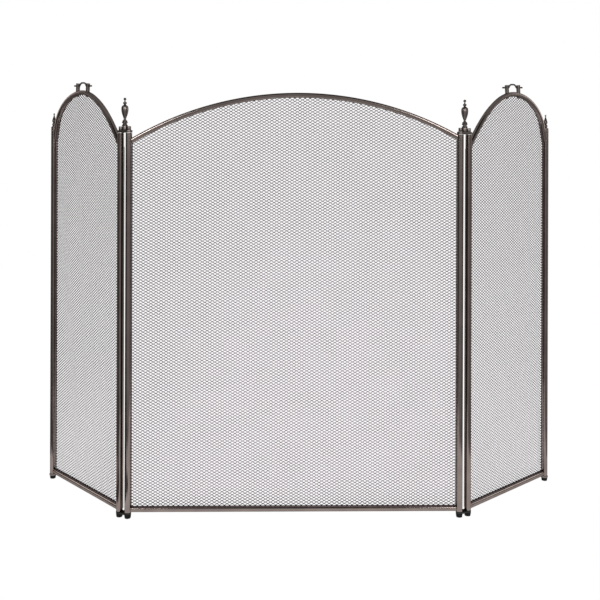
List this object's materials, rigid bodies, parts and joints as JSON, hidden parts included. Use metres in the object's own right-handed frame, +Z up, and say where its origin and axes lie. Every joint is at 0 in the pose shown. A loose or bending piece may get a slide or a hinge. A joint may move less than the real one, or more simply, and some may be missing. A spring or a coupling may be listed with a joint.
{
  "type": "fireplace screen",
  "caption": "Folding fireplace screen: arched centre panel and arched side wings of square tube filled with diamond wire mesh, joined by double-pivot hinges under urn finials.",
  "frame": {"origin": "On the floor, below the middle of the box round the standing screen.", "axes": "+X to the right as seen from the room, +Y to the back (towards the fire), +Z up. The centre panel is parallel to the XZ plane."},
  "size_m": [1.1492, 0.2542, 0.9004],
  "materials": {
    "frame_tube": "satin pewter over steel tube",
    "wire_cloth": "satin pewter over steel wire cloth",
    "cast_fitting": "satin pewter over castings",
    "steel_hardware": "turned steel with a pewter wash",
    "tube_plug": "black steel",
    "rubber_foot": "matte black"
  },
  "bodies": {
    "centre_panel": {"centre_arch_rail": "frame_tube", "centre_bottom_rail": "frame_tube", "centre_mesh": "wire_cloth", "centre_left_post": "frame_tube", "centre_left_post_cap": "steel_hardware", "centre_left_bottom_plug": "tube_plug", "centre_left_top_pin": "steel_hardware", "centre_left_bottom_pin": "steel_hardware", "centre_left_foot": "rubber_foot", "centre_right_post": "frame_tube", "centre_right_post_cap": "steel_hardware", "centre_right_bottom_plug": "tube_plug", "centre_right_top_pin": "steel_hardware", "centre_right_bottom_pin": "steel_hardware", "centre_right_foot": "rubber_foot"},
    "left_link": {"left_hinge_top_bar": "cast_fitting", "left_hinge_bottom_bar": "cast_fitting", "left_hinge_finial": "cast_fitting"},
    "left_wing": {"left_wing_arch_rail": "frame_tube", "left_wing_mesh": "wire_cloth", "left_wing_hinge_post": "frame_tube", "left_wing_post_cap": "steel_hardware", "left_wing_bottom_plug": "tube_plug", "left_wing_top_pin": "steel_hardware", "left_wing_bottom_pin": "steel_hardware", "left_wing_foot": "rubber_foot", "left_wing_bottom_rail": "frame_tube", "left_wing_outer_post": "frame_tube", "left_wing_outer_finial": "cast_fitting", "left_wing_foot_flange": "cast_fitting", "left_wing_outer_foot": "rubber_foot", "left_handle_bar": "steel_hardware", "left_handle_outer_stud": "cast_fitting", "left_handle_outer_screw": "steel_hardware", "left_handle_inner_stud": "cast_fitting", "left_handle_inner_screw": "steel_hardware"},
    "right_link": {"right_hinge_top_bar": "cast_fitting", "right_hinge_bottom_bar": "cast_fitting", "right_hinge_finial": "cast_fitting"},
    "right_wing": {"right_wing_arch_rail": "frame_tube", "right_wing_mesh": "wire_cloth", "right_wing_hinge_post": "frame_tube", "right_wing_post_cap": "steel_hardware", "right_wing_bottom_plug": "tube_plug", "right_wing_top_pin": "steel_hardware", "right_wing_bottom_pin": "steel_hardware", "right_wing_foot": "rubber_foot", "right_wing_bottom_rail": "frame_tube", "right_wing_outer_post": "frame_tube", "right_wing_outer_finial": "cast_fitting", "right_wing_foot_flange": "cast_fitting", "right_wing_outer_foot": "rubber_foot", "right_handle_bar": "steel_hardware", "right_handle_outer_stud": "cast_fitting", "right_handle_outer_screw": "steel_hardware", "right_handle_inner_stud": "cast_fitting", "right_handle_inner_screw": "steel_hardware"}
  },
  "joints": [
    {"name": "left_panel_pivot", "type": "hinge", "parent": "centre_panel", "child": "left_link", "pos_m": [-0.34914, -0.12013, 0], "axis": [0, 0, -1], "range_deg": [-114.6, 65.4]},
    {"name": "left_wing_pivot", "type": "hinge", "parent": "left_link", "child": "left_wing", "pos_m": [-0.36733, -0.11181, 0], "axis": [0, 0, -1], "range_deg": [-114.6, 65.4]},
    {"name": "right_panel_pivot", "type": "hinge", "parent": "centre_panel", "child": "right_link", "pos_m": [0.32386, -0.12013, 0], "axis": [0, 0, 1], "range_deg": [-111.35, 68.65]},
    {"name": "right_wing_pivot", "type": "hinge", "parent": "right_link", "child": "right_wing", "pos_m": [0.34248, -0.11285, 0], "axis": [0, 0, 1], "range_deg": [-111.35, 68.65]}
  ]
}
